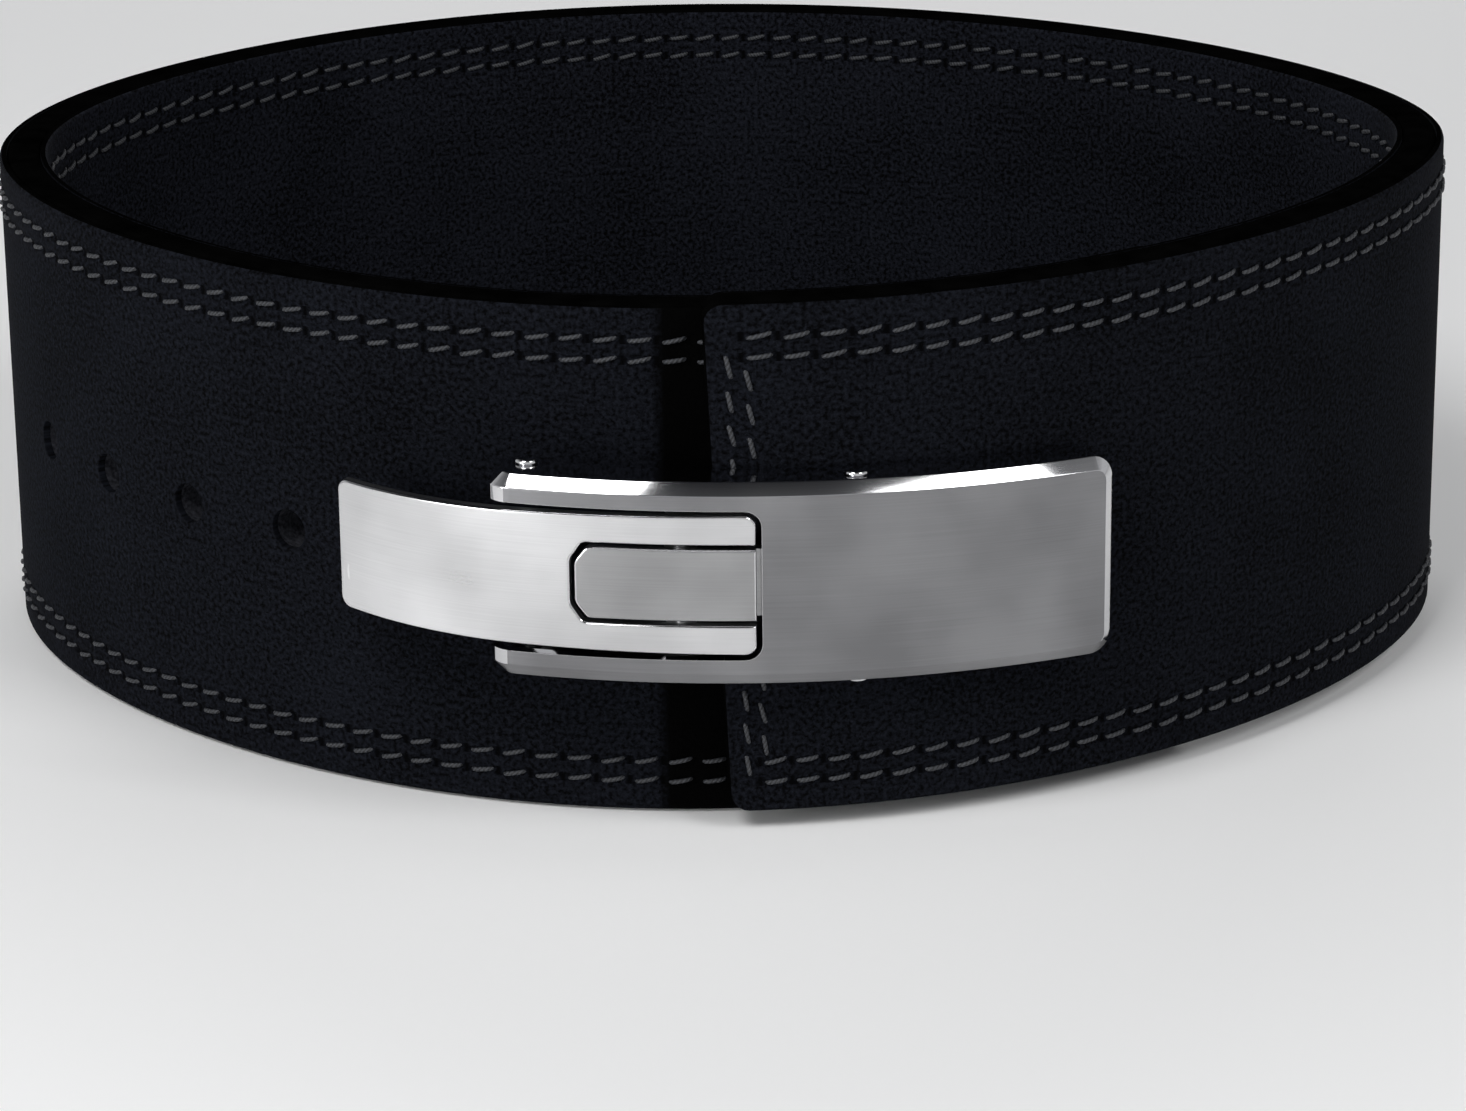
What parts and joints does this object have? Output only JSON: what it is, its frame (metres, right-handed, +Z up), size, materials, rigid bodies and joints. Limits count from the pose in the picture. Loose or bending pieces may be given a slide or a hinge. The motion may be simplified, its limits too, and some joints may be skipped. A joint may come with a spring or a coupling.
{
  "type": "weightlifting belt",
  "caption": "Black suede weightlifting belt, fastened into an oval loop with a steel lever buckle",
  "frame": {"origin": "middle of the belt's footprint, on the surface that its lower edge stands on", "axes": "+X to the wearer's left along the belt's long way, -Y to the front where the lever is, +Z up"},
  "size_m": [0.3006, 0.285, 0.1035],
  "materials": {
    "suede": "black suede, matt",
    "painted_edge": "painted edge, low sheen",
    "dark_steel": "dark satin",
    "satin_steel": "satin",
    "bright_steel": "bright"
  },
  "bodies": {
    "root": {"outer_suede": "suede", "strap_core": "painted_edge", "inner_suede": "suede", "base_plate": "dark_steel", "base_screw_1": "bright_steel", "base_screw_2": "bright_steel", "base_screw_3": "bright_steel", "base_screw_4": "bright_steel", "hinge_rivet_upper": "bright_steel", "hinge_rivet_lower": "bright_steel"},
    "lever": {"lever_cover": "satin_steel", "lever_finger": "satin_steel", "hook_pin": "bright_steel", "side_stud_upper": "bright_steel", "side_stud_lower": "bright_steel"},
    "hook": {"hook_arm": "bright_steel"}
  },
  "joints": [
    {"name": "lever_hinge", "type": "hinge", "parent": "root", "child": "lever", "pos_m": [-0.03841, -0.12932, 0.0535], "axis": [0, 0, -1], "range_deg": [0, 130]},
    {"name": "hook_hinge", "type": "hinge", "parent": "lever", "child": "hook", "pos_m": [-0.01028, -0.13802, 0.0535], "axis": [0, 0, -1], "range_deg": [-130, 0]}
  ],
  "couplings": [
    {"joint": "hook_hinge", "follows": "lever_hinge", "ratio": -1}
  ]
}
